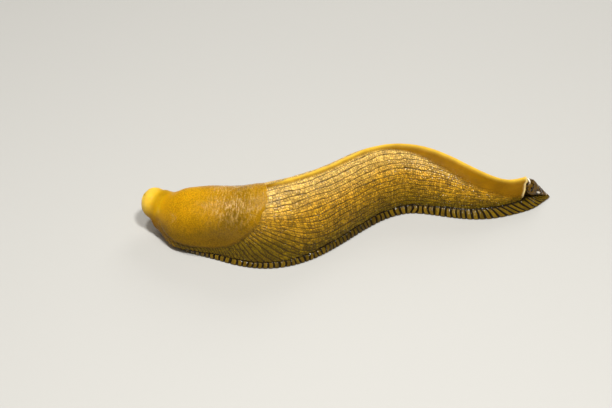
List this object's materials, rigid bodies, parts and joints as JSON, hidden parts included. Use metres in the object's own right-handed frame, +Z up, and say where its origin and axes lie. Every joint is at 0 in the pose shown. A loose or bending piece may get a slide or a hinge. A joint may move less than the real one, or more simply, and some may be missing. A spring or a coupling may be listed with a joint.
{
  "type": "banana slug",
  "caption": "Life-size banana slug at rest on its flat sole, body bent in a shallow S, head drawn in under the mantle and tentacles withdrawn.",
  "frame": {"origin": "on the floor under the middle of the bounding box", "axes": "+Z up, the flat sole on z = 0; the head points along -X and the tail along +X, so the animal's left side faces -Y"},
  "size_m": [0.119, 0.046, 0.0208],
  "materials": {
    "mantle_skin": "moist, golden ochre skin, finely grained, browner low down",
    "body_skin": "moist, gold to olive skin with dark grooves and small tubercles, smooth and yellow on the head",
    "foot_skin": "moist, khaki skin with dark cross stripes"
  },
  "bodies": {
    "root": {"head": "body_skin", "mantle": "mantle_skin", "trunk_front": "body_skin", "trunk_middle": "body_skin", "trunk_rear": "body_skin", "tail": "body_skin", "foot_front": "foot_skin", "foot_middle": "foot_skin", "foot_rear": "foot_skin", "foot_tail": "foot_skin"}
  },
  "joints": []
}
